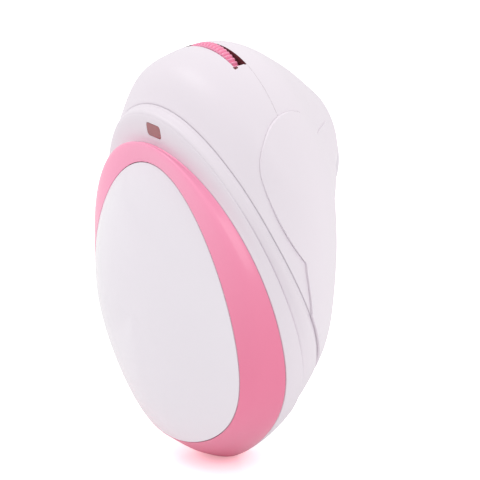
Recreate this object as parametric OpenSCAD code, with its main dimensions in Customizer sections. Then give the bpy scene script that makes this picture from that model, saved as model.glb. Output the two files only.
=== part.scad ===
// Hand-held fetal heart-beat listener: an egg-shaped body that stands on its
// tail, with a domed front plate, a coloured ring, stepped shells, a volume
// wheel in the crown and the ultrasound probe in the back of the head.
// +Z runs up the long axis, -Y is the front, +X is the user's right as seen
// from the front. The origin is the centre of the small flat under the tail.

/* [Body] */
// Width over the shells
body_w = 70; // [60:1:90]
// Height from the foot to the crown of the shells
body_h = 111; // [95:0.5:135]
// Depth from the pole of the plate to the rim of the probe seat
body_d = 52.5; // [46:0.5:64]
// How much the tail narrows towards the foot
foot_taper = 0.4; // [0.1:0.02:0.6]
// Wall of the moulded shells
wall = 2; // [1.6:0.1:3]
// Step down from one shell to the next one behind it
shell_step = 0.6; // [0.3:0.1:1.2]
// Gap in a seam that is glued or screwed
seam = 0.15; // [0.1:0.05:0.3]
// Gap round a piece that comes off or turns
run_gap = 0.3; // [0.2:0.05:0.5]

/* [Front plate] */
// Thickness of the domed plate
plate_t = 2; // [1.5:0.1:3]
// Height of the dome over its edge
plate_dome = 9.4; // [5:0.2:12]
// Width of the ledge in the ring that carries the plate
ledge_w = 3.4; // [2.4:0.1:5]

/* [Volume wheel] */
// Radius of the thumbwheel
wheel_r = 13; // [11:0.5:15]
// Thickness of the thumbwheel
wheel_t = 2.6; // [2:0.1:4]
// How far the wheel stands out of the crown
wheel_proud = 0.9; // [0.6:0.1:2]
// Teeth of the knurled rim
wheel_teeth = 72; // [40:1:90]
// Length of the slot in the crown
slot_w = 19.6; // [17:0.2:22]
// Depth of the knurling
knurl = 0.35; // [0.2:0.05:0.6]
// Radius of the potentiometer shaft
pot_shaft_r = 2; // [1.5:0.5:3]
// Radius of the potentiometer body
pot_r = 4.8; // [4:0.1:6]
// Thickness of the potentiometer body
pot_t = 4.6; // [3.6:0.2:6]

/* [Light] */
// Width of the indicator window
window_w = 5; // [3.5:0.1:6]
// Height of the indicator window
window_s = 3.2; // [2.5:0.1:3.6]
// Height of the window's centre as a share of the body height
window_h = 0.835; // [0.832:0.001:0.838]
// Radius of the light-emitting diode
led_r = 1.5; // [1:0.5:2]

/* [Earphone jacks] */
// Radius of the plug bore
jack_bore_r = 1.8; // [1.3:0.1:2]
// Depth of the plug bore
jack_depth = 14; // [12:0.5:16]
// Wall round the plug bore
jack_wall = 0.5; // [0.4:0.1:0.6]

/* [Battery] */
// Width of the block battery
battery_w = 26.5; // [25:0.1:27]
// Thickness of the block battery
battery_t = 17.5; // [16:0.1:18]
// Length of the block battery without its studs
battery_l = 46.4; // [44:0.1:47]
// Play of the battery in its bay
battery_play = 0.5; // [0.3:0.1:1]
// Wall of the bay
bay_wall = 1.4; // [1:0.1:2]

/* [Probe] */
// Radius of the transducer cup
cup_r = 14; // [11:0.5:16]
// Depth of the transducer cup
cup_depth = 10; // [8:0.5:12]
// Wall of the cup
cup_wall = 1.2; // [0.8:0.1:2]
// How far the cup stands out of the head
cup_proud = 0.9; // [0.5:0.1:2]
// Thickness of the acoustic lens
lens_t = 1.6; // [1:0.1:3]
// Thickness of the two piezo crystals
crystal_t = 0.8; // [0.5:0.1:1.5]
// Gap between the sending and the receiving crystal
crystal_gap = 1; // [0.6:0.1:2]

/* [Board] */
// Thickness of the circuit board
board_t = 1.6; // [1:0.2:2]
// Radius of the screws that hold the board
screw_r = 1; // [0.8:0.1:1.3]

/* [Hidden] */

steps_round = 44;   // points round a section of the body
steps_key = 3;      // rings between two key sections

// Key sections of the body, front to back. Each is an egg in a tilted plane:
// y and z of its top, y and z of its bottom, half width, egg factor, bow at
// the flanks, curl and taper of the foot, as shares of the depth, height,
// width and foot_taper.
KEYS = [
    //  y top  z top  y foot   z foot  width   egg     bow     curl   taper
    [-0.407, 0.763, -0.254,  0.0999, 0.788, -0.167, -0.031, -0.095, 0.02],  // plate edge
    [-0.423, 0.805, -0.180,  0.0300, 0.891, -0.039,  0.008,  0.011, 0.84],  // ring crown
    [-0.386, 0.803, -0.059, -0.0140, 0.964, -0.008,  0.051,  0.100, 1.33],  // ring lip
    [-0.400, 0.869,  0.120,  0.0443, 0.985, -0.096,  0.023,  0.085, 1.05],  // first groove
    [-0.350, 0.888,  0.311,  0.1461, 1.012, -0.125, -0.058,  0.070, 0.88],  // second groove
    [-0.243, 0.974,  0.445,  0.1709, 0.929,  0.063, -0.017,  0.030, 0.82],  // waist
    [ 0.044, 0.996,  0.453,  0.2650, 0.779,  0.096,  0.006,  0.003, 0.94],  // shoulder
    [ 0.290, 0.943,  0.430,  0.3770, 0.631,  0.042, -0.008,  0.000, 1.00],  // back
    [ 0.494, 0.866,  0.460,  0.5510, 0.473,  0.069,  0.000,  0.000, 1.00]];  // probe seat
PLATE_EDGE = 0;
RING_LIP = 2;
GROOVE_A = 3;
GROOVE_B = 4;
REAR_END = 8;

// Catmull-Rom blend of the key sections at any place u between them
function key(i) = KEYS[min(max(i, 0), len(KEYS) - 1)];
function blend(u) =
    let (i = min(floor(u), len(KEYS) - 2), t = u - i,
         a = key(i - 1), b = key(i), c = key(i + 1), d = key(i + 2))
    0.5 * (2 * b + (c - a) * t + (2 * a - 5 * b + 4 * c - d) * pow(t, 2)
           + (3 * b - a - 3 * c + d) * pow(t, 3));
// The wall also has to be kept in depth where the sections close in the back
function back_share(u) = min(max((u - 5) / 2, 0), 1);
// One ring of points: place u, inset from the outer surface, depth shift
function ring(u, inset, shift = 0) =
    let (k = blend(u),
         yt = k[0] * body_d, zt = k[1] * body_h,
         yb = k[2] * body_d, zb = k[3] * body_h,
         half = norm([yt - yb, zt - zb]) / 2,
         dir = [yt - yb, zt - zb] / (2 * half),
         cy = (yt + yb) / 2 + shift - inset * back_share(u),
         cz = (zt + zb) / 2,
         w = k[4] * body_w / 2 - inset, h = half - inset)
    [for (j = [0 : steps_round - 1])
        let (a = 360 * j / steps_round, x = cos(a), s = sin(a))
        [w * x * (1 + k[5] * s) * (1 - foot_taper * k[8] * pow(max(-s, 0), 2.5))
             * (1 - 0.03 * back_share(u) * exp(-pow((s + 0.15) / 0.22, 2))),
         cy + dir[0] * h * s + k[6] * body_d * x * x
             + k[7] * body_d * pow(max(-s, 0), 4),
         max(cz + dir[1] * h * s, 0)]];
function mean(p) = let (ones = [for (q = p) 1])
    [for (i = [0 : 2]) ones * [for (q = p) q[i]] / len(p)];

// Closed solid through a list of rings, each end closed by a fan
module loft(rings) {
    n = len(rings[0]);
    m = len(rings);
    pts = concat([for (r = rings) each r], [mean(rings[0]), mean(rings[m - 1])]);
    sides = [for (i = [0 : m - 2], j = [0 : n - 1])
        let (a = i * n + j, b = i * n + (j + 1) % n, c = b + n, d = a + n)
        each [[a, b, d], [b, c, d]]];
    front = [for (j = [0 : n - 1]) [m * n, (j + 1) % n, j]];
    back = [for (j = [0 : n - 1])
        [m * n + 1, (m - 1) * n + j, (m - 1) * n + (j + 1) % n]];
    polyhedron(concat(pts), concat(sides, front, back), convexity = 6);
}
// Body between two places, drawn in by an inset
module form(from, to, inset = 0, more_front = 0) {
    count = max(1, round((to - from) * steps_key));
    front = more_front > 0 ? [ring(from, inset, -more_front)] : [];
    loft(concat(front, [for (i = [0 : count])
        ring(from + (to - from) * i / count, inset)]));
}
// Everything inside the walls
module inside(inset) {
    form(RING_LIP - 1, REAR_END, inset, 6);
}
// Band of the body between two places, as a shell
module band(from, to, inset, gap_front = 0, gap_back = 0) {
    difference() {
        form(from + gap_front, to - gap_back, inset);
        inside(inset + wall);
    }
}

// Side profile in Y and Z, drawn right across the body
module across(width = 2 * body_w) {
    rotate([90, 0, 90]) linear_extrude(width, center = true) children();
}
// Round piece along Y at a place
module along_y(x, z, from, to, r) {
    translate([x, from, z]) rotate([-90, 0, 0]) cylinder(h = to - from, r = r, $fn = 64);
}
module block(x0, x1, y0, y1, z0, z1) {
    translate([x0, y0, z0]) cube([x1 - x0, y1 - y0, z1 - z0]);
}

// Places that several pieces share
probe_z = 0.701 * body_h;
probe_y = 0.478 * body_d + cup_proud;
head_r = cup_r + 5.5;
wheel_z = 0.985 * body_h + wheel_proud - wheel_r;
wheel_y = -0.057 * body_d;
crown_y = 0.006 * body_d;
lobe_r = 0.1027 * body_h;
lobe_y = 0.0248 * body_d;
lobe_z = 0.7784 * body_h;
lobe_level = 0.757 * body_h;
lobe_end = 0.811 * body_h;
lobe_foot = [-0.0305 * body_d, 0.584 * body_h];
flank_r = 0.385 * body_h;
door_w = 33;
door_low = 0.275 * body_h;
door_high = 0.505 * body_h;
board_back = -0.198 * body_d;
board_front = board_back - board_t;
wall_front = board_back + 5.1;
wall_back = wall_front + bay_wall;
battery_front = wall_back + battery_play;
battery_foot = 0.228 * body_h;
battery_top = battery_foot + battery_l;
window_z = window_h * body_h;
window_y = -0.39 * body_d;
boss_x = 17;
boss_low = 0.26 * body_h;
boss_high = 0.66 * body_h;
BOSSES = [for (x = [-boss_x, boss_x], z = [boss_low, boss_high]) [x, z]];

// Zones that divide the back of the body
module door_zone(gap = 0) {
    r = 5;
    translate([0, 0.15 * body_d, (door_low + door_high) / 2]) rotate([-90, 0, 0])
        linear_extrude(body_d) offset(r = r)
            square([door_w - 2 * gap - 2 * r, door_high - door_low - 2 * gap - 2 * r],
                   center = true);
}
module crown_zone(gap = 0) {
    across() polygon([[crown_y + gap, 2 * body_h], [crown_y + gap - 1.5, 0.8 * body_h],
        [2 * body_d, 0.8 * body_h], [2 * body_d, 2 * body_h]]);
}
module lobe_zone(gap = 0) {
    r = flank_r - gap;
    across() {
        translate([lobe_y, lobe_z]) circle(r = lobe_r - gap, $fn = 96);
        intersection() {
            translate([0.616 * body_d, 0.817 * body_h]) circle(r = r, $fn = 240);
            translate([-body_d, lobe_foot[1] - 0.01])
                square([1.5 * body_d, lobe_level - lobe_foot[1]]);
        }
        translate([lobe_foot[0] + gap, -10])
            square([2 * body_d, lobe_foot[1] + 10]);
        translate([lobe_y, lobe_foot[1] - 1])
            square([2 * body_d, lobe_end - gap - lobe_foot[1] + 1]);
    }
}
module probe_zone(gap = 0) {
    along_y(0, probe_z, 0, body_d, head_r + gap);
}

module front_plate() {
    color("whitesmoke") difference() {
        plate_body(0, plate_dome);
        translate([0, plate_t, 0]) plate_body(plate_t * 0.75, plate_dome - plate_t * 0.3);
    }
}
// Dome on the plate's edge; its back closes two wall thicknesses behind
module plate_body(inset, dome) {
    edge = ring(PLATE_EDGE, seam + inset);
    mid = mean(edge);
    rings = 7;
    loft(concat(
        [for (i = [1 : rings]) let (s = sin(90 * i / rings))
            [for (p = edge) [mid[0] + s * (p[0] - mid[0]),
                mid[1] + s * (p[1] - mid[1]) - dome * (1 - pow(s, 2.3)),
                mid[2] + s * (p[2] - mid[2])]]],
        [[for (p = edge) [p[0], p[1] + plate_t, p[2]]]]));
}

module pink_ring() {
    color("hotpink") difference() {
        form(PLATE_EDGE, RING_LIP - seam / 4, 0);
        loft([ring(PLATE_EDGE, 0, -body_d / 2), ring(PLATE_EDGE, 0, plate_t + seam / 3)]);
        loft([ring(PLATE_EDGE, ledge_w, -body_d / 2), ring(PLATE_EDGE, ledge_w, plate_t),
              ring(RING_LIP - 1, ledge_w + 1.5, 3.5), ring(RING_LIP + 0.5, ledge_w, 2)]);
    }
}

module front_shell() {
    color("lavender") difference() {
        band(RING_LIP, GROOVE_A, 0);
        window_block(seam);
    }
}
module window_block(gap) {
    block(-window_w / 2 - gap, window_w / 2 + gap, -body_d,
          window_y + 2 * wall, window_z - window_s / 2 - gap, window_z + window_s / 2 + gap);
}
module led_window() {
    color("rosybrown") intersection() {
        form(RING_LIP, GROOVE_A, -0.1);
        window_block(0);
        block(-window_w, window_w, window_y - wall, window_y + wall, 0, body_h);
    }
}
module led() {
    color("red") {
        along_y(0, window_z, board_front - 2, board_front, led_r + 0.3);
        along_y(0, window_z, window_y + wall + seam, board_front - 1, led_r);
    }
}

module mid_frame() {
    color("lavender") difference() {
        band(GROOVE_A, GROOVE_B, shell_step, seam / 4, 0);
        jack_holes();
    }
}

module mid_shell() {
    color("lavender") difference() {
        band(GROOVE_B, REAR_END, 2 * shell_step, seam / 4, 0);
        crown_zone(-seam);
        lobe_zone(-seam);
        probe_zone(seam);
        wheel_slot();
    }
}
module wheel_slot() {
    slot_t = wheel_t + 2 * run_gap;
    along_y(0, wheel_z, wheel_y - slot_t / 2, wheel_y + slot_t / 2, wheel_r + 0.5);
    block(-slot_w / 2, slot_w / 2, wheel_y - slot_t / 2, wheel_y + slot_t / 2,
          wheel_z, 2 * body_h);
}

module head_shell() {
    color("lavender") difference() {
        band(GROOVE_B, REAR_END, 2 * shell_step, seam, 0);
        difference() {
            across() square(4 * body_h, center = true);
            crown_zone();
            probe_zone();
        }
        difference() { lobe_zone(0); probe_zone(); }
        along_y(0, probe_z, 0, body_d, cup_r + seam);
    }
}

module rear_shell() {
    color("lavender") difference() {
        intersection() {
            band(GROOVE_B, REAR_END, shell_step, seam, 0);
            lobe_zone(seam);
        }
        door_zone();
        probe_zone(seam);
    }
}

module battery_door() {
    color("lavender") intersection() {
        band(GROOVE_B, REAR_END, shell_step, run_gap / 4, 0);
        door_zone(run_gap);
    }
}

module thumbwheel() {
    color("lightpink") {
        along_y(0, wheel_z, wheel_y - wheel_t / 2, wheel_y + wheel_t / 2, wheel_r - knurl);
        for (i = [0 : wheel_teeth - 1])
            translate([0, wheel_y, wheel_z]) rotate([0, 360 * i / wheel_teeth, 0])
                translate([wheel_r - knurl, 0, 0])
                    cube([2 * knurl, wheel_t, 0.62 * 2 * PI * wheel_r / wheel_teeth], center = true);
        along_y(0, wheel_z, board_back + pot_t * 0.5, wheel_y + wheel_t / 2 + 0.8, pot_shaft_r);
    }
}
module volume_pot() {
    color("dimgray") difference() {
        along_y(0, wheel_z, board_back, board_back + pot_t, pot_r);
        along_y(0, wheel_z, board_back + pot_t * 0.5 - 0.2, board_back + 2 * pot_t,
                pot_shaft_r + 0.05);
    }
}

module main_board() {
    low = battery_foot + 2;
    high = wheel_z - 1;
    color("seagreen") difference() {
        translate([0, board_back, 0]) rotate([90, 0, 0]) linear_extrude(board_t)
            polygon([[-15, low], [15, low], [21, low + 12], [21, 0.72 * body_h],
                     [7, high], [-7, high], [-21, 0.72 * body_h], [-21, low + 12]]);
        for (b = BOSSES) along_y(b[0], b[1], -body_d, body_d, screw_r + 0.1);
    }
}
module on_board(x, z, w, h, t) {
    block(x - w / 2, x + w / 2, board_back, board_back + t, z - h / 2, z + h / 2);
}
module signal_chip() { color("black") on_board(6, 0.47 * body_h, 10, 10, 1.6); }
module amplifier_chip() { color("black") on_board(-3, 0.35 * body_h, 6, 8, 1.5); }
module crystal_can() { color("silver") on_board(8, 0.58 * body_h, 9, 4, 3.4); }
module capacitors() {
    color("midnightblue") for (p = [[9, 0.33], [-10, 0.66]])
        along_y(p[0], p[1] * body_h, board_back, board_back + 5, 2.5);
}

// Earphone sockets in the left flank, each in the middle of the second shell
JACKS = [[0.383 * body_h, -0.006 * body_d], [0.464 * body_h, -0.07 * body_d]];
module jack_holes() {
    for (j = JACKS) translate([-body_w, j[1], j[0]]) rotate([0, 90, 0])
        cylinder(h = body_w - 18, r = jack_bore_r + jack_wall + seam, $fn = 48);
}
module jack(z, y) {
    mouth = -body_w / 2 + wall * 0.9;
    color("darkslategray") difference() {
        union() {
            translate([mouth, y, z]) rotate([0, 90, 0])
                cylinder(h = jack_depth, r = jack_bore_r + jack_wall, $fn = 48);
            block(mouth + wall + 5.3, mouth + jack_depth + 1.6, board_back, y + 2.8, z - 3, z + 3);
        }
        translate([mouth - 1, y, z]) rotate([0, 90, 0])
            cylinder(h = jack_depth + 1, r = jack_bore_r, $fn = 48);
    }
}
module jack_lower() { jack(JACKS[0][0], JACKS[0][1]); }
module jack_upper() { jack(JACKS[1][0], JACKS[1][1]); }

module battery() {
    color("goldenrod") {
        block(-battery_w / 2, battery_w / 2, battery_front, battery_front + battery_t,
              battery_foot, battery_top);
        for (x = [-6.35, 6.35])
            translate([x, battery_front + battery_t / 2, battery_top - 0.5])
                cylinder(h = 2.6, r = 2.8, $fn = 32);
    }
}
module battery_snap() {
    snap_z = battery_top + 0.1;
    color("black") difference() {
        block(-battery_w / 2 + 0.5, battery_w / 2 - 0.5, battery_front + 1.5,
              battery_front + battery_t - 1.5, snap_z, snap_z + 3.2);
        for (x = [-6.35, 6.35])
            translate([x, battery_front + battery_t / 2, snap_z - 1])
                cylinder(h = 3.3, r = 2.85, $fn = 32);
    }
}
// Two insulated leads from the snap over the bay's wall to the board
module battery_leads() {
    z = battery_top + 2;
    for (x = [-4, 4]) color(x < 0 ? "red" : "black")
        along_y(x, z, board_back, battery_front + 1.5, 0.7);
}

module battery_bay() {
    low = battery_foot - battery_play - bay_wall;
    high = battery_top + 5;
    side = battery_w / 2 + battery_play;
    tail = battery_front + battery_t * 0.6;
    color("gainsboro") difference() {
        union() {
            intersection() {
                inside(wall + 2 * shell_step + seam);
                block(-body_w, body_w, wall_front, wall_back, low, high);
            }
            for (s = [-1, 1]) translate([s * (side + bay_wall / 2), 0, 0])
                block(-bay_wall / 2, bay_wall / 2, wall_back - 0.1, tail,
                      low, battery_top - 2);
            block(-side - bay_wall, side + bay_wall, wall_back - 0.1, tail, low, low + bay_wall);
            for (b = BOSSES) along_y(b[0], b[1], board_back, wall_front + 0.1, 2.4);
        }
        for (b = BOSSES) along_y(b[0], b[1], -body_d, wall_front - 0.5, screw_r);
        for (x = [-4, 4]) along_y(x, battery_top + 2, -body_d, body_d, 0.9);
        block(-body_w, -boss_x, -body_d, wall_back + 1,
              JACKS[0][0] - 4, JACKS[1][0] + 4);
        along_y(0, wheel_z, -body_d, body_d, wheel_r + 1);
        along_y(0, probe_z, -body_d, body_d, 2);
    }
}
module board_screws() {
    color("silver") for (b = BOSSES) {
        along_y(b[0], b[1], board_front - 1.2, board_front, 1.9);
        along_y(b[0], b[1], board_front - 0.5, wall_front - 0.5, screw_r);
    }
}

module transducer_cup() {
    color("white") difference() {
        along_y(0, probe_z, probe_y - cup_depth, probe_y, cup_r);
        along_y(0, probe_z, probe_y - cup_depth + cup_wall, probe_y + 1, cup_r - cup_wall);
        along_y(0, probe_z, probe_y - cup_depth - 1, probe_y, 1.4);
    }
}
module acoustic_lens() {
    color("gainsboro") along_y(0, probe_z, probe_y - lens_t + 0.4, probe_y + 0.4,
                               cup_r - cup_wall - 0.05);
}
module half_crystal(side) {
    intersection() {
        along_y(0, probe_z, probe_y - lens_t + 0.4 - crystal_t, probe_y - lens_t + 0.4, cup_r - cup_wall - 1);
        block(side > 0 ? crystal_gap / 2 : -body_w, side > 0 ? body_w : -crystal_gap / 2,
              0, body_d, 0, body_h);
    }
}
module crystal_send() { color("tan") half_crystal(-1); }
module crystal_receive() { color("tan") half_crystal(1); }
module backing_block() {
    color("saddlebrown") difference() {
        along_y(0, probe_z, probe_y - cup_depth + cup_wall,
                probe_y - lens_t + 0.4 - crystal_t, cup_r - cup_wall - 0.3);
        along_y(0, probe_z, 0, probe_y - cup_depth + cup_wall + 2, 1.25);
    }
}
module transducer_lead() {
    color("gray") along_y(0, probe_z, board_back, probe_y - cup_depth + cup_wall + 2, 1.2);
}

front_plate();
pink_ring();
front_shell();
mid_frame();
mid_shell();
head_shell();
rear_shell();
battery_door();
led_window();
led();
thumbwheel();
volume_pot();
main_board();
signal_chip();
amplifier_chip();
crystal_can();
capacitors();
jack_upper();
jack_lower();
battery();
battery_snap();
battery_leads();
battery_bay();
transducer_cup();
backing_block();
crystal_send();
crystal_receive();
acoustic_lens();
transducer_lead();
board_screws();
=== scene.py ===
import math

import bpy
import numpy as np
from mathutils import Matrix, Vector


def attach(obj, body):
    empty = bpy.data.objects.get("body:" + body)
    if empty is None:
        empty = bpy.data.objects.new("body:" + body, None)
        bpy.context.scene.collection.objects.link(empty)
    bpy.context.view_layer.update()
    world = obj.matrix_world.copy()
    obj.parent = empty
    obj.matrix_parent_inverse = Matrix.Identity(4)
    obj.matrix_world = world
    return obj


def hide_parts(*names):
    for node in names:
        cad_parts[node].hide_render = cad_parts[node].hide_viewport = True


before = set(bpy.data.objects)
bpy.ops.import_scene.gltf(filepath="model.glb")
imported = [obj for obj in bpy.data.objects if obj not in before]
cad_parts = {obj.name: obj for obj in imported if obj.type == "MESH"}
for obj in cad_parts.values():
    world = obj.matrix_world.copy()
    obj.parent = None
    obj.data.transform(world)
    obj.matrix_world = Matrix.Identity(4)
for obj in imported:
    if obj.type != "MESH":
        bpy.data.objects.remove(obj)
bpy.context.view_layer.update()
bpy.ops.object.select_all(action="DESELECT")
MM = 0.001

# ---------------------------------------------------------------------------
# Camera. It looks down on the monitor from its right front, a little over
# 40 cm away, with the whole monitor in a square frame.
AIM = Vector((0.0, 0.0, 55 * MM))
AZIMUTH, ELEVATION = math.radians(50), math.radians(24)
DISTANCE = 420 * MM
PIXELS_PER_M = 4040
FRAME_PIXELS = 480
AIM_PIXEL = (222, 256.3)

back = Vector((
    math.sin(AZIMUTH) * math.cos(ELEVATION),
    -math.cos(AZIMUTH) * math.cos(ELEVATION),
    math.sin(ELEVATION),
))
bpy.ops.object.camera_add(location=AIM + back * DISTANCE)
camera = bpy.context.object
camera.rotation_mode = "QUATERNION"
camera.rotation_quaternion = (-back).to_track_quat("-Z", "Y")
camera.data.sensor_width = 36
camera.data.lens = 36 * PIXELS_PER_M * DISTANCE / FRAME_PIXELS
camera.data.shift_x = (FRAME_PIXELS / 2 - AIM_PIXEL[0]) / FRAME_PIXELS
camera.data.shift_y = (AIM_PIXEL[1] - FRAME_PIXELS / 2) / FRAME_PIXELS
camera.data.clip_start = 0.01
bpy.context.scene.camera = camera


# ---------------------------------------------------------------------------
# Studio. A white sweep with a painted pink reflection of the ring round the foot
# and a true reflection that is strong at the foot and faint past 9 mm; soft light
# from a large lamp high on the left and a weaker one on the right.
class Look:
    """A node tree's output, written in expressions."""

    tree = None

    def __init__(self, socket):
        self.socket = socket

    @classmethod
    def node(cls, kind, settings=(), **inputs):
        made = cls.tree.nodes.new(kind)
        for key, value in dict(settings).items():
            setattr(made, key, value)
        for key, value in inputs.items():
            socket = made.inputs[int(key[1:]) if key[0] == "_" else key.replace("_", " ")]
            if isinstance(value, Look):
                cls.tree.links.new(value.socket, socket)
            else:
                socket.default_value = value
        return made

    @classmethod
    def math(cls, operation, *values):
        made = cls.node("ShaderNodeMath", {"operation": operation},
                        **{f"_{i}": v for i, v in enumerate(values)})
        return cls(made.outputs[0])

    def __add__(self, other):
        return Look.math("ADD", self, other)

    def __sub__(self, other):
        return Look.math("SUBTRACT", self, other)

    def __mul__(self, other):
        return Look.math("MULTIPLY", self, other)

    __radd__ = __add__
    __rmul__ = __mul__


def place():
    """Object coordinates, in metres."""
    return Look(Look.node("ShaderNodeTexCoord").outputs["Object"])


def grain(size, detail=2.0):
    """Noise with features of about that size in metres, 0 to 1."""
    made = Look.node("ShaderNodeTexNoise", Vector=place(), Scale=1 / size, Detail=detail)
    return Look(made.outputs["Fac"])


def tint(amount, low, high):
    """From one colour to another."""
    made = Look.node("ShaderNodeMix", {"data_type": "RGBA"}, _0=amount,
                     _6=(*low, 1), _7=(*high, 1))
    return Look(made.outputs[2])


def slope(value, start, end, low=0.0, high=1.0):
    """Goes smoothly from low to high while the value goes from start to end."""
    made = Look.node("ShaderNodeMapRange", {"interpolation_type": "SMOOTHSTEP"},
                     _0=value, _1=start, _2=end, _3=low, _4=high)
    return Look(made.outputs["Result"])


def axis(letter):
    """One of the object coordinates, in metres."""
    return Look(Look.node("ShaderNodeSeparateXYZ", Vector=place()).outputs[letter])


def finish(name, paint, fixed=(), bump=None, depth=0.02 * MM):
    """A material: paint() gives the varying inputs, fixed the rest."""
    made = bpy.data.materials.new(name)
    made.use_nodes = True
    Look.tree = made.node_tree
    shader = made.node_tree.nodes["Principled BSDF"]
    for key, value in dict(fixed).items():
        shader.inputs[key].default_value = value
    for key, value in paint().items():
        made.node_tree.links.new(value.socket, shader.inputs[key])
    if bump:
        height = Look.node("ShaderNodeBump", Height=bump(), Distance=depth, Strength=1.0)
        made.node_tree.links.new(height.outputs["Normal"], shader.inputs["Normal"])
    return made


WHITE = (1, 1, 1, 1)
FLOOR_BLUR = 0.12
FLOOR_GLOW = 0.72
MIRROR_NEAR, MIRROR_FAR = 2 * MM, 9 * MM
MIRROR_STRONG, MIRROR_WEAK = 0.45, 0.08
# The pink round the foot is a painted reflection of the ring, in the paper and glow colours.
PAINTED_REFLECTION_CENTRE = (2.5 * MM, -2.1 * MM, 0)
PAINTED_REFLECTION_TURN = (0, 0, math.radians(50))
PAINTED_REFLECTION_SHAPE = (1, 0.55, 1)
PAINTED_REFLECTION_START, PAINTED_REFLECTION_END = 3 * MM, 22 * MM
PAPER_PAINTED_REFLECTION, PAPER_WHITE = (0.9, 0.58, 0.62), (0.9, 0.9, 0.9)
GLOW_PAINTED_REFLECTION, GLOW_WHITE = (1, 0.62, 0.68), (1, 1, 1)

bpy.ops.mesh.primitive_plane_add(size=6)
floor = bpy.context.object
floor.name = "floor"
floor_look = bpy.data.materials.new("sweep")
floor_look.use_nodes = True
Look.tree = floor_look.node_tree
Look.tree.nodes.clear()
rays = Look.node("ShaderNodeLightPath")
away = Look.node("ShaderNodeVectorMath", {"operation": "LENGTH"}, _0=place())
mirror = slope(Look(away.outputs["Value"]), MIRROR_NEAR, MIRROR_FAR, MIRROR_STRONG, MIRROR_WEAK)
oval = Look.node("ShaderNodeMapping", {"vector_type": "TEXTURE"}, Vector=place(),
                 Location=PAINTED_REFLECTION_CENTRE, Rotation=PAINTED_REFLECTION_TURN, Scale=PAINTED_REFLECTION_SHAPE)
reach = Look.node("ShaderNodeVectorMath", {"operation": "LENGTH"},
                  _0=Look(oval.outputs["Vector"]))
# 0 in the painted pink reflection at the foot, 1 from its end outwards.
painted_reflection_fade = slope(Look(reach.outputs["Value"]), PAINTED_REFLECTION_START, PAINTED_REFLECTION_END)
paper = Look.node("ShaderNodeBsdfDiffuse", Color=tint(painted_reflection_fade, PAPER_PAINTED_REFLECTION, PAPER_WHITE))
glow = Look.node("ShaderNodeEmission", Color=tint(painted_reflection_fade, GLOW_PAINTED_REFLECTION, GLOW_WHITE),
                 Strength=FLOOR_GLOW)
shine = Look.node("ShaderNodeBsdfAnisotropic", Color=WHITE, Roughness=FLOOR_BLUR)
lit = Look.node("ShaderNodeAddShader")
seen = Look.node("ShaderNodeMixShader", _0=mirror)
shown = Look.node("ShaderNodeMixShader")
out = Look.node("ShaderNodeOutputMaterial")
links = Look.tree.links
links.new(glow.outputs[0], lit.inputs[0])
links.new(paper.outputs[0], lit.inputs[1])
links.new(lit.outputs[0], seen.inputs[1])
links.new(shine.outputs[0], seen.inputs[2])
links.new(rays.outputs["Is Camera Ray"], shown.inputs[0])
links.new(paper.outputs[0], shown.inputs[1])
links.new(seen.outputs[0], shown.inputs[2])
links.new(shown.outputs[0], out.inputs[0])
floor.data.materials.append(floor_look)

world = bpy.data.worlds.new("studio")
bpy.context.scene.world = world
world.use_nodes = True
Look.tree = world.node_tree
Look.tree.nodes.clear()
rays = Look.node("ShaderNodeLightPath")
WORLD_LIGHT = 0.82
bright = Look.math("MAXIMUM", Look(rays.outputs["Is Camera Ray"]),
                   Look(rays.outputs["Is Glossy Ray"]))
bright = Look.math("MAXIMUM", bright, Look(rays.outputs["Is Transmission Ray"]))
sky = Look.node("ShaderNodeBackground", Color=WHITE,
                Strength=WORLD_LIGHT + bright * (1 - WORLD_LIGHT))
out = Look.node("ShaderNodeOutputWorld")
Look.tree.links.new(sky.outputs[0], out.inputs[0])

for name, spot, size, watts in (
        ("key", (-0.45, -0.50, 1.05), 0.7, 4.6),
        ("side", (0.9, 0.25, 0.5), 0.6, 1.5)):
    bpy.ops.object.light_add(type="AREA", location=spot)
    lamp = bpy.context.object
    lamp.name = name
    lamp.data.size, lamp.data.energy = size, watts
    lamp.rotation_mode = "QUATERNION"
    lamp.rotation_quaternion = (AIM - Vector(spot)).to_track_quat("-Z", "Y")

scene = bpy.context.scene
scene.view_settings.view_transform = "Standard"

# ---------------------------------------------------------------------------
# Body form. The outside of the monitor is one egg cut into slanted sections,
# front to back; every shell follows it. A section is y and z of its top, y and z
# of its foot, width, egg factor, bow at the flanks, curl and taper of the foot,
# as shares of the depth, height, width and FOOT_TAPER. The shares weren't chosen
# by hand: a separate program fitted them to the object's outline and edges, and
# 19 of the 81 were changed after that.
WIDTH, HEIGHT, DEPTH = 69.7, 111.0, 52.5
FOOT_TAPER = 0.4
PINCH = 0.03
VALLEY = 0.035
SHALLOWER = 0.6
SECTIONS = np.array([
    [-0.407, 0.763, -0.254, 0.0999, 0.788, -0.167, -0.031, -0.095, 0.02],
    [-0.423, 0.805, -0.180, 0.0300, 0.891, -0.039, 0.008, 0.011, 0.84],
    [-0.386, 0.803, -0.059, -0.0140, 0.964, -0.008, 0.051, 0.100, 1.33],
    [-0.400, 0.869, 0.120, 0.0443, 0.985, -0.096, 0.023, 0.085, 1.05],
    [-0.350, 0.888, 0.311, 0.1461, 1.012, -0.125, -0.058, 0.070, 0.88],
    [-0.243, 0.974, 0.445, 0.1709, 0.929, 0.063, -0.017, 0.030, 0.82],
    [0.044, 0.996, 0.453, 0.2650, 0.779, 0.096, 0.006, 0.003, 0.94],
    [0.290, 0.943, 0.430, 0.3770, 0.631, 0.042, -0.008, 0.000, 1.00],
    [0.494, 0.866, 0.460, 0.5510, 0.473, 0.069, 0.000, 0.000, 1.00],
])
PLATE_EDGE, RING_LIP, GROOVE_A, GROOVE_B, PROBE_SEAT = 0, 2, 3, 4, 8
AROUND = 240
ANGLES = np.linspace(0, 2 * math.pi, AROUND, endpoint=False)
WALL = 2.0
STEP = 0.6
SEAM = 0.15


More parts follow.
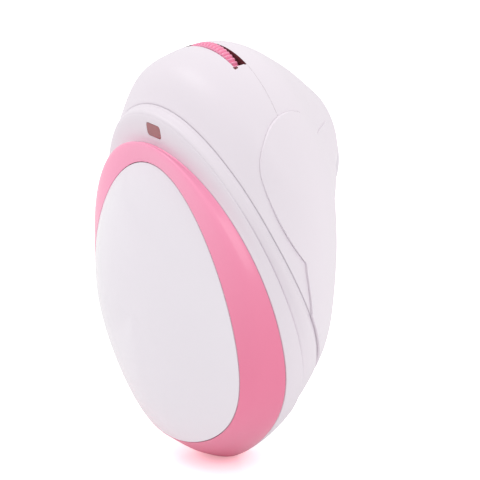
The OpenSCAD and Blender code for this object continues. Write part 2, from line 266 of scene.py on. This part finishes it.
def section(u):
    """The section at any place between the key ones."""
    last = len(SECTIONS) - 1
    i = min(max(int(math.floor(u)), 0), last - 1)
    t = u - i
    a, b, c, d = (SECTIONS[min(max(k, 0), last)] for k in (i - 1, i, i + 1, i + 2))
    return 0.5 * (2 * b + (c - a) * t + (2 * a - 5 * b + 4 * c - d) * t ** 2
                  + (3 * b - a - 3 * c + d) * t ** 3)


def ease(t):
    """Goes smoothly from 0 to 1 with t."""
    t = np.clip(t, 0, 1)
    return t * t * (3 - 2 * t)


def skin(u, inset=0.0, shift=0.0):
    """Points round the section at u, in millimetres. The steps of the bands
    are shallower over the top."""
    k = section(u)
    top = np.array([k[0] * DEPTH, k[1] * HEIGHT])
    foot = np.array([k[2] * DEPTH, k[3] * HEIGHT])
    half = np.linalg.norm(top - foot) / 2
    along = (top - foot) / (2 * half)
    mid = (top + foot) / 2
    back_share = min(max((u - 5) / 2, 0), 1)
    c, s = np.cos(ANGLES), np.sin(ANGLES)
    low = np.maximum(-s, 0)
    over = ease((s - 0.3) / 0.45) * ease((u - 2.6) / 0.4) * (1 - ease((u - 4.3) / 1.1))
    inset = inset - SHALLOWER * min(inset, 2 * STEP) * over
    pinch = PINCH * back_share * np.exp(-((s + 0.15) / 0.22) ** 2)
    valley = max(math.sin(math.pi * min(max((u - 4) / 1.15, 0), 1)), 0) ** 1.5
    pinch = pinch + VALLEY * valley * np.exp(-((s - 0.30) / 0.40) ** 2)
    taper = FOOT_TAPER * k[8] * low ** 2.5
    x = (k[4] * WIDTH / 2 - inset) * c * (1 + k[5] * s) * (1 - taper) * (1 - pinch)
    y = (mid[0] + shift - inset * back_share + along[0] * (half - inset) * s
         + k[6] * DEPTH * c * c + k[7] * DEPTH * low ** 4)
    z = mid[1] + along[1] * (half - inset) * s
    return np.stack([x, y, np.maximum(z, 0)], -1)


def smooth(piece, angle=32):
    """Merges a piece's doubled points and shades it."""
    bpy.ops.object.select_all(action="DESELECT")
    piece.select_set(True)
    bpy.context.view_layer.objects.active = piece
    bpy.ops.object.mode_set(mode="EDIT")
    bpy.ops.mesh.select_all(action="SELECT")
    bpy.ops.mesh.remove_doubles(threshold=0.002 * MM)
    bpy.ops.mesh.normals_make_consistent(inside=False)
    bpy.ops.object.mode_set(mode="OBJECT")
    bpy.ops.object.shade_smooth_by_angle(angle=math.radians(angle))
    bpy.ops.object.select_all(action="DESELECT")
    return piece


def sweep(name, rings):
    """A closed skin through rings of points; the last ring joins the first."""
    rings = list(rings) + [rings[0]]
    rows, cols = len(rings), len(rings[0])
    bpy.ops.mesh.primitive_grid_add(x_subdivisions=cols, y_subdivisions=rows - 1, size=1)
    piece = bpy.context.object
    piece.name = piece.data.name = name
    spots = np.array([[ring[c % cols] for c in range(cols + 1)] for ring in rings])
    piece.data.vertices.foreach_set("co", (spots * MM).reshape(-1))
    piece.data.update()
    return smooth(piece)


def moulding(name, outline):
    """A swept moulding: its outline, as place, inset and shift back."""
    rings = []
    for (u0, d0, y0), (u1, d1, y1) in zip(outline, outline[1:] + outline[:1]):
        steps = max(1, math.ceil(abs(u1 - u0) / 0.07))
        for i in range(steps):
            t = i / steps
            rings.append(skin(u0 + (u1 - u0) * t, d0 + (d1 - d0) * t, y0 + (y1 - y0) * t))
    return sweep(name, rings)


def slab(points, low, high):
    """A block with an outline in y and z, reaching across x."""
    bpy.ops.mesh.primitive_circle_add(vertices=len(points), fill_type="NGON")
    block = bpy.context.object
    for vertex, (y, z) in zip(block.data.vertices, points):
        vertex.co = (low * MM, y * MM, z * MM)
    bpy.ops.object.mode_set(mode="EDIT")
    bpy.ops.mesh.select_all(action="SELECT")
    bpy.ops.mesh.extrude_region_move(
        TRANSFORM_OT_translate={"value": ((high - low) * MM, 0, 0)})
    bpy.ops.mesh.select_all(action="SELECT")
    bpy.ops.mesh.normals_make_consistent(inside=False)
    bpy.ops.object.mode_set(mode="OBJECT")
    return block


def rod(x, z, start, end, radius, sides=128):
    """A round bar along y."""
    bpy.ops.mesh.primitive_cylinder_add(
        vertices=sides, radius=radius * MM, depth=(end - start) * MM,
        location=(x * MM, (start + end) / 2 * MM, z * MM), rotation=(math.pi / 2, 0, 0))
    bpy.ops.object.transform_apply()
    return bpy.context.object


def carve(piece, cutter, operation="DIFFERENCE"):
    """Cuts a piece with another, which is used up."""
    bpy.ops.object.select_all(action="DESELECT")
    bpy.context.view_layer.objects.active = piece
    knife = piece.modifiers.new("carve", "BOOLEAN")
    knife.object, knife.operation, knife.solver = cutter, operation, "MANIFOLD"
    bpy.ops.object.modifier_apply(modifier=knife.name)
    bpy.data.objects.remove(cutter)
    return piece


def fit(piece, look, body, slot, *nodes):
    """Paints a piece, and puts it in its CAD nodes' place."""
    piece.data.materials.clear()
    piece.data.materials.append(look)
    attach(piece, body)
    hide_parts(*nodes)
    return piece


# ---------------------------------------------------------------------------
# Pink ring. One glossy ABS moulding, wide at the foot, where it is the stand.
# The plate drops into its front, and the first shell is glued behind its lip.
def high_left():
    """0 at the right of the foot, 0.95 at the top left: the light painted in."""
    return slope(axis("Z") - axis("X") * 0.9, 0.0, 95 * MM, 0.0, 0.95)


pink_gloss = finish(
    "pink_gloss",
    lambda: {"Base Color": tint(high_left() + grain(30 * MM) * 0.05,
                                (0.83, 0.196, 0.336), (0.95, 0.34, 0.52)),
             "Roughness": 0.27 + grain(1.5 * MM) * 0.03},
    {"Coat Weight": 0.35, "Coat Roughness": 0.12},
    bump=lambda: grain(0.5 * MM), depth=0.0008 * MM)
LEDGE = 3.4
ring = moulding("ring", [
    (0, 0, 2.05), (0, 0, 0.5), (0, 0.05, 0.14), (0.03, 0, 0), (1, 0, 0),
    (1.93, 0, 0), (1.945, 0.12, 0), (1.955, 0.4, 0),
    (1.955, 3, 0), (1, 5, 3.5), (0, LEDGE, 4.5), (0, LEDGE, 2.05),
])
fit(ring, pink_gloss, "monitor", "pink_gloss", "pink_ring")

# ---------------------------------------------------------------------------
# Front plate. A domed plate of glossy white ABS, snapped into the ring with a
# thin shadow gap round it.
PLATE = 2.0
DOME = 9.38
white_gloss = finish(
    "white_gloss",
    lambda: {"Base Color": tint(high_left() + grain(40 * MM) * 0.05,
                                (0.83, 0.785, 0.84), (0.765, 0.72, 0.775)),
             "Roughness": 0.20 + grain(1.2 * MM) * 0.08},
    {"Coat Weight": 0.4, "Coat Roughness": 0.1},
    bump=lambda: grain(0.6 * MM), depth=0.0008 * MM)


def plate_ring(share, inset, lift, back=0.0):
    """Points on the plate, from its middle at 0 to its edge at 1."""
    edge = skin(PLATE_EDGE, SEAM + inset)
    mid = edge.mean(0)
    spots = mid + share * (edge - mid)
    spots[:, 1] += back - lift * (1 - share ** 2.3)
    return spots


shares = [math.sin(math.pi / 2 * i / 24) for i in range(25)]
plate = sweep("plate",
              [plate_ring(s, 0, DOME) for s in shares[:-1]]
              + [plate_ring(1, 0.06, DOME, 0.05), plate_ring(1, 0, DOME, 0.3),
                 plate_ring(1, 0, DOME, PLATE)]
              + [plate_ring(s, 1.5, DOME - 0.6, PLATE) for s in reversed(shares)])
fit(plate, white_gloss, "monitor", "white_gloss", "front_plate")

# ---------------------------------------------------------------------------
# Front shell and mid frame. Two bands of satin white ABS, each a step lower
# than the one before, with a fine groove between them; the first has the
# window for the light, the second the earphone sockets on its left flank.
def rearward():
    """0 at the front, 0.95 towards the back: the light painted in."""
    return slope(axis("Y"), -15 * MM, 8 * MM, 0.0, 0.95)


white_satin = finish(
    "white_satin",
    lambda: {"Base Color": tint(rearward() + grain(35 * MM) * 0.05,
                                (0.765, 0.705, 0.762), (0.85, 0.785, 0.842)),
             "Roughness": 0.44 + grain(0.9 * MM) * 0.1},
    {"Coat Weight": 0.08, "Coat Roughness": 0.3},
    bump=lambda: grain(0.35 * MM, 3), depth=0.0015 * MM)


def rounded_block(x, y0, y1, z, wide, high, radius):
    """A block along y with rounded corners."""
    bpy.ops.mesh.primitive_cube_add(size=1, location=(x * MM, (y0 + y1) / 2 * MM, z * MM))
    block = bpy.context.object
    block.scale = (wide * MM, (y1 - y0) * MM, high * MM)
    bpy.ops.object.transform_apply()
    bpy.ops.object.mode_set(mode="EDIT")
    bpy.ops.mesh.select_mode(type="EDGE")
    bpy.ops.object.mode_set(mode="OBJECT")
    for edge in block.data.edges:
        a, b = (block.data.vertices[i].co for i in edge.vertices)
        edge.select = abs(a.y - b.y) > 0.5 * (y1 - y0) * MM
    bpy.ops.object.mode_set(mode="EDIT")
    bpy.ops.mesh.bevel(offset=radius * MM, segments=6, affect="EDGES")
    bpy.ops.object.mode_set(mode="OBJECT")
    return block


front_shell = moulding("front_shell_skin", [
    (RING_LIP - 0.03, 2.4, 0), (RING_LIP - 0.03, 0.3, 0), (RING_LIP - 0.015, 0.05, 0),
    (RING_LIP + 0.01, -0.02, 0), (RING_LIP + 0.06, 0, 0), (GROOVE_A - 0.13, 0, 0),
    (GROOVE_A - 0.09, 0.06, 0), (GROOVE_A - 0.02, 0.55, 0), (GROOVE_A, 0.8, 0), (GROOVE_A, 2.4, 0)])
WINDOW_Y, WINDOW_Z, WINDOW_WIDE, WINDOW_HIGH = -20.5, 92.7, 5.0, 3.2
WINDOW_PLAY, WINDOW_CORNER = 0.16, 0.72
AHEAD = -40
carve(front_shell, rounded_block(
    0, AHEAD, WINDOW_Y + 6, WINDOW_Z,
    WINDOW_WIDE + WINDOW_PLAY, WINDOW_HIGH + WINDOW_PLAY, WINDOW_CORNER + WINDOW_PLAY / 2))
smooth(front_shell)
fit(front_shell, white_satin, "monitor", "white_satin", "front_shell")

mid_frame = moulding("mid_frame_skin", [
    (GROOVE_A + 0.005, STEP + WALL, 0), (GROOVE_A + 0.005, STEP + 0.15, 0),
    (GROOVE_A + 0.03, STEP + 0.05, 0), (GROOVE_A + 0.07, STEP, 0), (GROOVE_B - 0.20, STEP, 0),
    (GROOVE_B - 0.17, STEP + 0.08, 0), (GROOVE_B - 0.06, 2 * STEP + 0.15, 0),
    (GROOVE_B - 0.01, 2 * STEP + 0.2, 0), (GROOVE_B, STEP + WALL, 0)])
SOCKETS, SOCKET_R = ((-0.315, 42.51), (-3.675, 51.5)), 2.42
for y, z in SOCKETS:
    bpy.ops.mesh.primitive_cylinder_add(
        vertices=64, radius=SOCKET_R * MM, depth=40 * MM,
        location=(-38 * MM, y * MM, z * MM), rotation=(0, math.pi / 2, 0))
    bpy.ops.object.transform_apply()
    carve(mid_frame, bpy.context.object)
smooth(mid_frame)
fit(mid_frame, white_satin, "monitor", "white_satin", "mid_frame")

# ---------------------------------------------------------------------------
# Light window. A smoked red lens pressed into the first band.
window_tint = finish(
    "window_tint",
    lambda: {"Base Color": tint(grain(2.5 * MM), (0.27, 0.055, 0.065), (0.37, 0.10, 0.11)),
             "Roughness": 0.14 + grain(0.7 * MM) * 0.06},
    {"Coat Weight": 0.6, "Coat Roughness": 0.05},
    bump=lambda: grain(0.8 * MM), depth=0.002 * MM)
lens = moulding("window_blank", [(RING_LIP + 0.05, 0.1, 0), (GROOVE_A - 0.02, 0.1, 0),
                                 (GROOVE_A - 0.02, 2.2, 0), (RING_LIP + 0.05, 2.2, 0)])
carve(lens, rounded_block(0, AHEAD, WINDOW_Y + 2, WINDOW_Z, WINDOW_WIDE, WINDOW_HIGH,
                          WINDOW_CORNER), "INTERSECT")
lens.name = "light_window"
smooth(lens)
fit(lens, window_tint, "monitor", "window_tint", "led_window")

# ---------------------------------------------------------------------------
# Rear mouldings. Crown, head, lobed back and battery door: satin white ABS cut
# from the same egg along the seams, the lobes and the door a step higher.
CROWN_Y = 0.32
PROBE_Z, HEAD_R, CUP_R = 77.81, 19.5, 14.0
HAIR = 0.02
BEHIND, ABOVE, BESIDE = 105, 222, 82
CROWN_FOOT = 88.8


def behind_crown(gap):
    """Everything behind the seam across the crown."""
    return slab([(CROWN_Y + gap, ABOVE), (CROWN_Y + gap - 1.5, CROWN_FOOT),
                 (BEHIND, CROWN_FOOT), (BEHIND, ABOVE)], 1 - BESIDE, BESIDE - 1)


def lobes(gap):
    """Everything behind the lobes' front edge: a round brow, a long flank
    curving down to a corner, and a straight edge from there to the groove."""
    brow, brow_r = (1.3, 86.4), 11.4 - gap
    flank, flank_r = (32.34, 90.69), 42.74 - gap
    corner, level, end = 64.82, 84.03, 90.0 - gap
    first = math.asin((end - brow[1]) / brow_r)
    last = math.pi - math.asin((level - brow[1]) / brow_r)
    points = [(BEHIND, end)]
    points += [(brow[0] + brow_r * math.cos(a), brow[1] + brow_r * math.sin(a))
               for a in np.linspace(first, last, 60)]
    points += [(flank[0] - math.sqrt(flank_r ** 2 - (flank[1] - z) ** 2), z)
               for z in np.linspace(level - 0.6, corner, 40)]
    points += [(-1.6 + gap, corner - 0.4), (-1.6 + gap, -10), (BEHIND, -10)]
    return slab(points, -BESIDE, BESIDE)


def back_shell(name, inset):
    """The whole back as one shell, open at the probe's seat."""
    return moulding(name, [
        (GROOVE_B + 0.04, inset, 0), (PROBE_SEAT, inset, 0), (PROBE_SEAT, inset + 14, 0),
        (PROBE_SEAT, inset + 14, -WALL), (PROBE_SEAT, inset + WALL, -WALL * 0.2),
        (GROOVE_B + 0.01, inset + WALL, 0), (GROOVE_B + 0.01, inset + 0.3, 0),
        (GROOVE_B + 0.02, inset + 0.1, 0)])


mid_shell = back_shell("mid_shell_skin", 2 * STEP)
carve(mid_shell, behind_crown(-HAIR))
carve(mid_shell, lobes(-HAIR))
carve(mid_shell, rod(0, PROBE_Z, 0, 60, HEAD_R + HAIR))
WHEEL_Y, WHEEL_Z, WHEEL_R, WHEEL_T = -2.99, 97.235, 13.0, 2.6
SLOT_FRONT, SLOT_BACK, SLOT_WIDE = WHEEL_Y - 1.6, WHEEL_Y + 2.0, 19.6
carve(mid_shell, rounded_block(0, SLOT_FRONT, SLOT_BACK, WHEEL_Z + 15, SLOT_WIDE, 30, 0.15))
smooth(mid_shell)
fit(mid_shell, white_satin, "monitor", "white_satin", "mid_shell")
# Dark maroon for the inner faces and the slot's walls: painted shade.
shade_paint = finish(
    "painted_shade_well",
    lambda: {"Base Color": tint(grain(3 * MM), (0.10, 0.018, 0.022), (0.15, 0.03, 0.035)),
             "Roughness": 0.5 + grain(1 * MM) * 0.1},
    bump=lambda: grain(0.5 * MM), depth=0.003 * MM)
CORE = Vector((0, 2 * MM, 70 * MM))


def shade_inside(piece):
    """Paints the inner faces under the crown and the slot's walls dark: painted shade."""
    piece.data.materials.append(shade_paint)
    for face in piece.data.polygons:
        inward = (face.normal.dot(face.center - CORE) < 0 and face.center.z > 84 * MM
                  and face.center.y < 9 * MM)
        in_slot = (abs(face.center.x) < 9.85 * MM and face.center.z > 100 * MM
                   and SLOT_FRONT - 0.02 < face.center.y / MM < SLOT_BACK + 0.02)
        if inward or in_slot:
            face.material_index = 1


shade_inside(mid_shell)

head = back_shell("head_shell_skin", 2 * STEP)
keep = behind_crown(HAIR)
carve(keep, rod(0, PROBE_Z, 0.5, 60, HEAD_R), "UNION")
carve(head, keep, "INTERSECT")
hollow = lobes(0)
carve(hollow, rod(0, PROBE_Z, -10, 70, HEAD_R))
carve(head, hollow)
carve(head, rod(0, PROBE_Z, 0, 60, CUP_R + HAIR))
smooth(head)
fit(head, white_satin, "monitor", "white_satin", "head_shell")
shade_inside(head)

DOOR_LOW, DOOR_HIGH, DOOR_WIDE = 30.5, 56.05, 33.0
DOOR_FRONT, DOOR_CORNER, DOOR_GAP = 7.9, 5, 0.3


def door_block(gap):
    """The doorway, less a gap all round."""
    return rounded_block(0, DOOR_FRONT, 60, (DOOR_LOW + DOOR_HIGH) / 2, DOOR_WIDE - 2 * gap,
                         DOOR_HIGH - DOOR_LOW - 2 * gap, DOOR_CORNER)


rear = back_shell("rear_shell_skin", STEP)
for vertex, normal in zip(rear.data.vertices, rear.data.vertex_normals):
    # the lobes' brow runs out into the head
    up = min(max((vertex.co.z / MM - 78) / 12, 0), 1)
    to_back = min(max((vertex.co.y / MM - 2) / 9, 0), 1)
    if normal.vector.dot(vertex.co - CORE) > 0:
        vertex.co -= normal.vector * (STEP * MM * up * up * (3 - 2 * up) * to_back)
carve(rear, lobes(HAIR), "INTERSECT")
carve(rear, door_block(0))
carve(rear, rod(0, PROBE_Z, 0, 60, HEAD_R + HAIR))
smooth(rear)
fit(rear, white_satin, "monitor", "white_satin", "rear_shell")

door = back_shell("door_skin", STEP)
carve(door, door_block(DOOR_GAP), "INTERSECT")
smooth(door)
fit(door, white_satin, "door", "white_satin", "battery_door")

# ---------------------------------------------------------------------------
# Thumbwheel. Pink ABS with ridges across its rim, pushed on the shaft of the
# volume potentiometer.
pink_knurled = finish(
    "pink_knurled",
    lambda: {"Base Color": tint(grain(6 * MM), (0.92, 0.30, 0.47), (0.94, 0.34, 0.52)),
             "Roughness": 0.32 + grain(0.8 * MM) * 0.06},
    {"Coat Weight": 0.2, "Coat Roughness": 0.2},
    bump=lambda: grain(0.25 * MM), depth=0.002 * MM)
RIDGES = 72
turn = np.linspace(0, 2 * math.pi, RIDGES * 12, endpoint=False)


def turned(name, x, z, profile, angles):
    """A turned piece about a line along y: its profile as y, radius, ridge."""
    rings = []
    for y, radius, ridge in profile:
        wave = np.abs(np.cos(angles * RIDGES / 2)) ** 3
        r = radius - ridge * wave
        rings.append(np.stack([x + r * np.cos(angles), np.full_like(angles, y),
                               z + r * np.sin(angles)], -1))
    return sweep(name, rings)


front, rear_face = WHEEL_Y - WHEEL_T / 2, WHEEL_Y + WHEEL_T / 2
wheel = turned("wheel", 0, WHEEL_Z, [
    (front + 0.5, 2.05, 0), (front + 0.5, 8.8, 0), (front + 0.3, 9.2, 0), (front, 9.5, 0),
    (front, 12.0, 0), (front + 0.06, 12.35, 0.15), (front + 0.2, 12.7, 0.4),
    (front + 0.45, 12.93, 0.6), (front + 0.7, WHEEL_R, 0.65),
    (rear_face - 0.7, WHEEL_R, 0.65), (rear_face - 0.45, 12.93, 0.6),
    (rear_face - 0.2, 12.7, 0.4), (rear_face - 0.06, 12.35, 0.15), (rear_face, 12.0, 0),
    (rear_face, 2.05, 0)], turn)
shaft = turned("wheel_shaft", 0, WHEEL_Z, [
    (-8.0, 0.3, 0), (-8.0, 1.8, 0), (-7.8, 2.0, 0), (rear_face + 0.5, 2.0, 0),
    (rear_face + 0.8, 1.7, 0), (rear_face + 0.8, 0.3, 0)],
    np.linspace(0, 2 * math.pi, 64, endpoint=False))
fit(wheel, pink_knurled, "volume_wheel", "pink_knurled", "thumbwheel")
fit(shaft, pink_knurled, "volume_wheel", "pink_knurled", "thumbwheel")

# ---------------------------------------------------------------------------
# Probe. A white cup in the head with a grey silicone lens, slightly domed,
# that touches the skin.
lens_grey = finish(
    "lens_grey",
    lambda: {"Base Color": tint(grain(5 * MM), (0.50, 0.50, 0.53), (0.56, 0.56, 0.60)),
             "Roughness": 0.42 + grain(1.0 * MM) * 0.12},
    {"Coat Weight": 0.1, "Coat Roughness": 0.3},
    bump=lambda: grain(0.4 * MM, 3), depth=0.004 * MM)
PROBE_Y = 25.995
circle = np.linspace(0, 2 * math.pi, 128, endpoint=False)
cup = turned("probe_cup", 0, PROBE_Z, [
    (PROBE_Y - 10, 1.4, 0), (PROBE_Y - 10, 13.6, 0), (PROBE_Y - 9.6, 13.97, 0),
    (PROBE_Y - 0.5, 13.97, 0), (PROBE_Y - 0.15, 13.87, 0), (PROBE_Y, 13.6, 0),
    (PROBE_Y, 13.1, 0), (PROBE_Y - 0.2, 12.85, 0), (PROBE_Y - 8.8, 12.8, 0),
    (PROBE_Y - 8.8, 1.4, 0)], circle)
fit(cup, white_gloss, "monitor", "white_gloss", "transducer_cup")
dome = [(PROBE_Y + 0.4 - 0.5 * (r / 12.6) ** 2.5, r, 0)
        for r in (12.2, 11.5, 10.5, 9, 7.5, 6, 4.5, 3, 1.5, 0.02)]
face = turned("probe_lens", 0, PROBE_Z, [
    (PROBE_Y - 1.2, 0.02, 0), (PROBE_Y - 1.2, 12.75, 0), (PROBE_Y - 0.3, 12.75, 0),
    (PROBE_Y - 0.1, 12.6, 0)] + dome, circle)
fit(face, lens_grey, "monitor", "lens_grey", "acoustic_lens")

# ---------------------------------------------------------------------------
# Inside pieces. They keep the shapes they have, each with its own material.


def inner(name, low, high, rough=0.5, metal=0.0, size=2.0, depth=0.003):
    """A plain finish: two close colours, and grain of a size in millimetres."""
    return finish(
        name,
        lambda: {"Base Color": tint(grain(size * MM), low, high),
                 "Roughness": rough + grain(size / 2 * MM) * 0.12},
        {"Metallic": metal}, bump=lambda: grain(size / 4 * MM, 3), depth=depth * MM)


black = inner("black_moulding", (0.012, 0.012, 0.014), (0.022, 0.022, 0.025))
red_lamp = inner("led_red", (0.45, 0.02, 0.02), (0.60, 0.05, 0.04), 0.12)
board = inner("board_green", (0.02, 0.12, 0.055), (0.03, 0.18, 0.08), 0.35, size=1.0)
steel = inner("plated_steel", (0.55, 0.55, 0.56), (0.66, 0.66, 0.67), 0.25, 1.0, 1.0)
jacket = inner("battery_jacket", (0.32, 0.20, 0.05), (0.42, 0.27, 0.07), 0.30, 0.6, 4.0)
sleeve = inner("lead_sleeve", (0.03, 0.03, 0.033), (0.05, 0.05, 0.055), 0.45)
grey = inner("grey_moulding", (0.42, 0.42, 0.44), (0.50, 0.50, 0.52), 0.45)
epoxy = inner("epoxy_brown", (0.09, 0.05, 0.03), (0.14, 0.08, 0.05), 0.55)
ceramic = inner("ceramic_tan", (0.50, 0.42, 0.28), (0.58, 0.50, 0.34), 0.35)
for node, look in (
        ("led", red_lamp), ("volume_pot", black), ("main_board", board),
        ("signal_chip", black), ("amplifier_chip", black), ("crystal_can", steel),
        ("capacitors", black), ("jack_upper", black), ("jack_lower", black),
        ("battery", jacket), ("battery_snap", black), ("battery_leads", sleeve),
        ("battery_bay", grey), ("backing_block", epoxy), ("crystal_send", ceramic),
        ("crystal_receive", ceramic), ("transducer_lead", sleeve), ("board_screws", steel)):
    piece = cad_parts[node]
    if not piece.material_slots:
        piece.data.materials.append(look)
    for place_of in piece.material_slots:
        place_of.material = look
